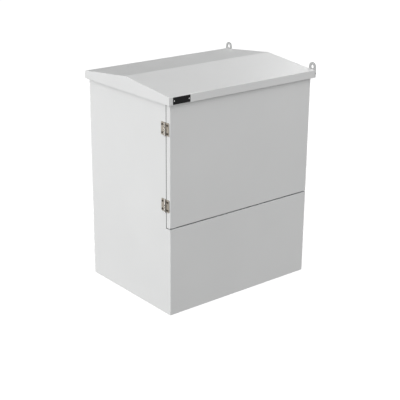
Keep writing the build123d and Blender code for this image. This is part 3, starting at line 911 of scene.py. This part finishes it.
def gap_shade_strips(material):
    """Black strips on the body's left and right front flanges, a painted shade in the joints beside the
    door.
    """
    body_low, body_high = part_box("body_shell")
    front = body_low.y
    proud = front - SHADE_STRIP_DEPTH
    section = [(SHADE_STRIP_WIDTH, proud), (SHADE_STRIP_WIDTH, front), (BODY_BEND, front)]
    radius = BODY_BEND + WELD_DISTANCE
    stop = math.acos((BODY_BEND - SHADE_STRIP_INSET) / radius) - TURN / 2
    for x, y in arc((BODY_BEND, BODY_BEND), radius, -TURN / 4, stop, CORNER_STEPS):
        section.append((x, front + y))
    section.append((SHADE_STRIP_INSET, proud))
    pieces = []
    for edge, inward in ((body_low.x, 1), (body_high.x, -1)):
        outline = [(edge + inward * x, y) for x, y in section]
        pieces.append(prism(outline, body_low.z, body_high.z))
    finished("gap_painted_shade_strips", merged(pieces), material, "cabinet")


def name_plate(material):
    """A black plate with rounded corners and a raised rim, left blank."""
    low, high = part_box("name_plate")
    middle = (low + high) / 2
    half_x = (high.x - low.x) / 2
    half_z = (high.z - low.z) / 2
    thickness = high.y - low.y
    outline = rounded_outline((-half_x, -half_z), (half_x, half_z), [NAME_PLATE_CORNER] * 4)
    inner_x = half_x - RIM_WIDTH
    inner_z = half_z - RIM_WIDTH
    sunk = rounded_outline((-inner_x, -inner_z), (inner_x, inner_z), [RECESS_CORNER] * 4)
    cutters = [prism(sunk, RECESS_FLOOR_SHARE * thickness, 2 * thickness)]
    for box in solids_of("name_plate_rivets"):
        x = (box[0].x + box[1].x) / 2 - middle.x
        z = (box[0].z + box[1].z) / 2 - middle.z
        hole = drill(RIVET_HOLE, -thickness, 2 * thickness)
        hole.transform(Matrix.Translation((x, z, 0.0)))
        cutters.append(hole)
    plate = combined(prism(outline, 0.0, thickness), cutters, "DIFFERENCE")
    plate = rounded(cleaned(plate), NAME_PLATE_EDGE)
    plate.transform(Matrix((
        (1, 0, 0, middle.x),
        (0, 0, -1, high.y),
        (0, 1, 0, middle.z),
        (0, 0, 0, 1),
    )))
    finished("name_plate_blank", plate, material, "cabinet", ["name_plate"])


def plate_rivets(material):
    """Domed rivet heads with their shanks."""
    meshes = []
    for box in solids_of("name_plate_rivets"):
        end, facing, length = axis_frame(box, 1, -1)
        radius = (box[1].x - box[0].x) / 2
        profile = [(RIVET_SHANK, 0.0), (radius, 0.0)]
        for step in range(DOME_STEPS + 1):
            angle = TURN / 4 * step / DOME_STEPS
            rise = RIVET_RIM_SHARE + (1 - RIVET_RIM_SHARE) * math.sin(angle)
            profile.append((radius * math.cos(angle), RIVET_HEIGHT * rise))
        profile += [(0.0, RIVET_HEIGHT - length), (RIVET_SHANK, RIVET_HEIGHT - length)]
        meshes.append(turned(lathe(profile), end - facing * RIVET_HEIGHT, facing))
    finished("name_plate_rivet_heads", merged(meshes), material, "cabinet",
             ["name_plate_rivets"])


def seal_section(half, depth):
    """The seal's section: a foot with two lips, a neck and a round bulb."""
    bulb = []
    for step in range(BULB_STEPS + 1):
        angle = TURN / 2 * (BULB_START + (1 - 2 * BULB_START) * step / BULB_STEPS)
        rise = BULB_MIDDLE + (1 - BULB_MIDDLE) * math.sin(angle)
        bulb.append((half * math.cos(angle), depth * rise))
    lip = LIP_TOP * depth
    neck = NECK_TOP * depth
    narrow = NECK_WIDTH * half
    return [(-half, 0.0), (half, 0.0), (half, lip), (narrow, neck)] + bulb + [
        (-narrow, neck), (-half, lip),
    ]


def door_seal(material):
    """The rubber loop, swept round the inside of the door."""
    low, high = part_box("door_seal")
    half = SEAL_WIDTH / 2
    section = seal_section(half, high.y - low.y)
    inset = half + SEAL_CORNER
    left = low.x + inset
    right = high.x - inset
    bottom = low.z + inset
    top = high.z - inset
    loops = []
    for x, z, start in ((left, bottom, 180), (right, bottom, 270), (right, top, 0), (left, top, 90)):
        for step in range(CORNER_STEPS + 1):
            angle = math.radians(start + 90 * step / CORNER_STEPS)
            loop = []
            for across, deep in section:
                reach = SEAL_CORNER + across
                loop.append((x + math.cos(angle) * reach, low.y + deep, z + math.sin(angle) * reach))
            loops.append(loop)
    finished("door_seal_bulb", skinned(loops, "seal"), material, "door", ["door_seal"])


def spot_welds(material):
    """Rows of shallow spot welds on the feet of the door's stiffeners."""
    meshes = []
    for side in ("left", "right"):
        low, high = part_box("door_stiffener_" + side)
        for x in (low.x + SPOT_INSET, high.x - SPOT_INSET):
            for i in range(SPOT_COUNT):
                z = low.z + (high.z - low.z) * (i + 0.5) / SPOT_COUNT
                mesh = lathe(SPOT_PROFILE, SPOT_STEPS)
                meshes.append(turned(mesh, (x, low.y + STIFFENER_SHEET, z), (0, 1, 0)))
    finished("door_spot_welds", merged(meshes), material, "door")


def housing_profile(flange, length):
    """A lock housing from its bore round its threaded barrel to its dished flange."""
    root = BARREL_RADIUS - BARREL_THREAD_DEPTH
    half_pitch = BARREL_PITCH / 2
    dish = HOUSING_FACE - DISH_DEPTH
    profile = [(HOUSING_BORE, HOUSING_FACE), (HOUSING_BORE, -length)]
    profile.append((BARREL_RADIUS - half_pitch, -length))
    height = -length + half_pitch
    while height < -BARREL_THREAD_END:
        profile.append((BARREL_RADIUS, height))
        profile.append((root, height + half_pitch))
        height += BARREL_PITCH
    profile += [(BARREL_RADIUS, -BARREL_NECK), (BARREL_RADIUS, 0.0), (flange, 0.0)]
    profile.append((flange, HOUSING_FACE - FLANGE_CHAMFER))
    profile.append((flange - FLANGE_CHAMFER, HOUSING_FACE))
    profile.append((flange - FLANGE_RIM, HOUSING_FACE))
    profile.append((flange - FLANGE_RIM - DISH_DEPTH, dish))
    profile.append((HOUSING_BORE + BORE_RIM + DISH_DEPTH, dish))
    profile.append((HOUSING_BORE + BORE_RIM, HOUSING_FACE))
    return profile


def lock_housings(material):
    """Lock housings with a chamfered flange, a stepped face and a threaded barrel."""
    meshes = []
    for low, high in solids_of("lock_housings"):
        middle = (low + high) / 2
        flange = (high.y - low.y) / 2
        mesh = lathe(housing_profile(flange, high.x - low.x - HOUSING_FACE))
        meshes.append(turned(mesh, (high.x - HOUSING_FACE, middle.y, middle.z), (1, 0, 0)))
    finished("lock_housings_turned", merged(meshes), material, "door",
             ["lock_housings"])


def board_studs(material):
    """Hexagonal spacers with threaded ends."""
    meshes = []
    for box in solids_of("mounting_studs"):
        end, facing, length = axis_frame(box, 1, -1)
        seat = end - facing * length
        flats = min(box[1].x - box[0].x, box[1].z - box[0].z)
        meshes.append(oriented(hexagon(flats, SPACER_LENGTH), seat, facing, box, 1))
        screw = thread(SPACER_SCREW, length - SPACER_LENGTH, 0.0)
        meshes.append(turned(screw, seat + facing * SPACER_LENGTH, facing))
    finished("mounting_stud_rods", merged(meshes), material, "cabinet",
             ["mounting_studs"])


def earth_terminal(material):
    """The earth stud with its thread, washer and nut."""
    low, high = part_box("earth_stud")
    seat = Vector((low.x, (low.y + high.y) / 2, (low.z + high.z) / 2))
    stud = turned(thread(EARTH_STUD, high.x - low.x, 0.0, EARTH_PITCH), seat, (1, 0, 0))
    finished("earth_stud_thread", stud, material, "cabinet", ["earth_stud"])
    disc = ring(EARTH_WASHER_BORE, EARTH_WASHER_RADIUS, EARTH_WASHER_HEIGHT, EARTH_WASHER_EDGE)
    disc = turned(disc, seat, (1, 0, 0))
    on_washer = seat + Vector((EARTH_WASHER_HEIGHT, 0.0, 0.0))
    nut_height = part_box("earth_nuts")[1].x - on_washer.x
    nut = hexagon(EARTH_NUT_FLATS, nut_height, EARTH_NUT_BORE, both_ends=True)
    nut = turned(nut, on_washer, (1, 0, 0))
    finished("earth_nut_and_washer", merged([disc, nut]), material, "cabinet",
             ["earth_nuts"])


# The stage: camera, floor, sky and lamps

def camera():
    """The camera at the photograph's place and angle."""
    cosine = math.cos(CAMERA_ELEVATION)
    right = Vector((math.cos(CAMERA_AZIMUTH), math.sin(CAMERA_AZIMUTH), 0.0))
    back = Vector((
        math.sin(CAMERA_AZIMUTH) * cosine,
        -math.cos(CAMERA_AZIMUTH) * cosine,
        math.sin(CAMERA_ELEVATION),
    ))
    up = back.cross(right)
    rolled_right = right * math.cos(CAMERA_ROLL) + up * math.sin(CAMERA_ROLL)
    rolled_up = up * math.cos(CAMERA_ROLL) - right * math.sin(CAMERA_ROLL)
    turn = Matrix((rolled_right, rolled_up, back)).transposed()
    data = bpy.data.cameras.new("camera")
    data.lens = CAMERA_LENS
    data.sensor_width = SENSOR_WIDTH
    data.sensor_fit = "HORIZONTAL"
    data.clip_end = CAMERA_REACH
    holder = bpy.data.objects.new("camera", data)
    holder.matrix_world = Matrix.Translation(CAMERA_PLACE) @ turn.to_4x4()
    bpy.context.scene.collection.objects.link(holder)
    bpy.context.scene.camera = holder


def glowing(name, grey):
    """A dull grey surface that gives white light of its own."""
    material = bpy.data.materials.new(name)
    material.use_nodes = True
    shader = material.node_tree.nodes["Principled BSDF"]
    shader.inputs["Base Color"].default_value = (grey, grey, grey, 1.0)
    shader.inputs["Roughness"].default_value = 1.0
    shader.inputs["Specular IOR Level"].default_value = 0.0
    shader.inputs["Emission Color"].default_value = WHITE
    shader.inputs["Emission Strength"].default_value = 1.0
    return material


def staged(name, mesh, grey, hidden_from):
    """Put a piece of the stage in the scene, hidden from some kinds of ray."""
    piece = bpy.data.objects.new(name, mesh)
    bpy.context.scene.collection.objects.link(piece)
    mesh.materials.append(glowing(name, grey))
    for ray in hidden_from:
        setattr(piece, "visible_" + ray, False)


def floor():
    """A plain pale floor that reads as the photograph's white ground."""
    half = FLOOR_SIZE / 2
    mesh = bpy.data.meshes.new("floor")
    corners = [(-half, -half, 0), (half, -half, 0), (half, half, 0), (-half, half, 0)]
    mesh.from_pydata(corners, [], [(0, 1, 2, 3)])
    staged("floor", mesh, FLOOR_GREY, ("diffuse", "glossy", "shadow"))


def backdrop():
    """A white dome that only the camera sees."""
    work = bmesh.new()
    bmesh.ops.create_icosphere(work, subdivisions=BACKDROP_STEPS, radius=BACKDROP_RADIUS)
    mesh = mesh_of(work, "backdrop")
    staged("backdrop", mesh, 0.0, ("diffuse", "glossy", "transmission", "shadow"))


def sky():
    """A soft sky, brightest towards the left and the front."""
    world = bpy.data.worlds.new("sky")
    bpy.context.scene.world = world
    world.use_nodes = True
    tree = world.node_tree
    background = tree.nodes["Background"]
    background.inputs["Color"].default_value = WHITE
    way = tree.nodes.new("ShaderNodeTexCoord").outputs["Generated"]
    total = 0.0
    for middle, brightness in SKY.values():
        towards = tree.nodes.new("ShaderNodeVectorMath")
        towards.operation = "DOT_PRODUCT"
        towards.inputs[1].default_value = middle
        tree.links.new(way, towards.inputs[0])
        near = maths(tree, "MAXIMUM", towards.outputs["Value"], 0.0)
        squared = maths(tree, "MULTIPLY", near, near)
        total = maths(tree, "MULTIPLY_ADD", squared, brightness, total)
    tree.links.new(total, background.inputs["Strength"])


def lamps():
    """Soft square lamps that face the cabinet's middle."""
    for name, (azimuth, elevation, distance, size, power) in LAMPS.items():
        a = math.radians(azimuth)
        e = math.radians(elevation)
        way = Vector((math.sin(a) * math.cos(e), -math.cos(a) * math.cos(e), math.sin(e)))
        data = bpy.data.lights.new(name, "AREA")
        data.shape = "SQUARE"
        data.size = size
        data.energy = power
        holder = bpy.data.objects.new(name, data)
        holder.location = Vector(LAMP_TARGET) + way * distance
        holder.rotation_euler = way.to_track_quat("Z", "Y").to_euler()
        holder.visible_camera = False
        bpy.context.scene.collection.objects.link(holder)


# The whole scene

def set_stage():
    """The camera, the surroundings and the light."""
    camera()
    bpy.context.scene.view_settings.view_transform = "Standard"
    floor()
    backdrop()
    sky()
    lamps()


def dress_sheets(coat, lug_coat, zinc_dip):
    """The painted and galvanised sheets and plates."""
    for node in COATED_SHEETS:
        softened(node, coat, SHEET_EDGE)
    softened("roof_canopy", coat, SHEET_EDGE, RIDGE_ANGLE)
    for node in ("lifting_lug_front", "lifting_lug_rear"):
        softened(node, lug_coat, PLATE_EDGE)
    for node in ZINC_SHEETS:
        softened(node, zinc_dip, SHEET_EDGE)


def dress_row(row, steel, finish):
    """The hinge and the lock of one row, upper or lower."""
    lock = "lock_" + row
    softened(lock + "_plug", finish["lock_chrome"], SMALL_EDGE)
    softened(lock + "_claw", finish["lock_steel"], SMALL_EDGE)
    hinge_leaf(row, "body_leaf", steel)
    hinge_leaf(row, "door_leaf", steel)
    hinge_pin(row, steel)
    nuts(lock + "_claw_nut", 0, -1, CLAW_NUT_BORE, finish["zinc_fasteners"])


def dress_screws(dark, zinc):
    """Hinge screws and bolts, each kind along its own axis."""
    headed_screws("hinge_body_screw_heads", "hinge_body_screws", 0, -1, dark, "stainless", **HINGE_SCREW)
    headed_screws("hinge_door_screw_heads", "hinge_door_screws", 0, -1, dark, "stainless", **HINGE_SCREW)
    headed_screws("lug_bolt_heads", "lug_bolts", 0, 1, zinc, "zinc_fasteners", **LARGE_BOLT)
    headed_screws("plinth_bolt_heads", "plinth_bolts", 2, 1, zinc, "zinc_fasteners", **LARGE_BOLT)


def dress():
    """Every piece of the cabinet, in its finish."""
    coat = powder_coat("powder_coat", COAT_DARK, COAT_LIGHT)
    lug_coat = powder_coat("lug_coat", LUG_DARK, LUG_LIGHT)
    steel = stainless()
    finish = {name: drifting(name, **values) for name, values in FINISHES.items()}
    dress_sheets(coat, lug_coat, galvanised())
    for row in ("upper", "lower"):
        dress_row(row, steel, finish)
    hinge_washers(finish["washer_plastic"])
    # Painted shade: black strips in the side joints of the door
    gap_shade_strips(finish["seal_rubber"])
    dress_screws(finish["dark_screw"], finish["zinc_fasteners"])
    name_plate(finish["black_plate"])
    plate_rivets(finish["bright_rivet"])
    door_seal(finish["seal_rubber"])
    spot_welds(coat)
    lock_housings(finish["lock_chrome"])
    nuts("lock_housing_nuts", 0, -1, HOUSING_NUT_BORE, finish["zinc_fasteners"])
    board_studs(finish["zinc_fasteners"])
    nuts("mounting_nuts", 1, -1, BOARD_NUT_BORE, finish["zinc_fasteners"])
    earth_terminal(finish["earth_brass"])


set_stage()
dress()
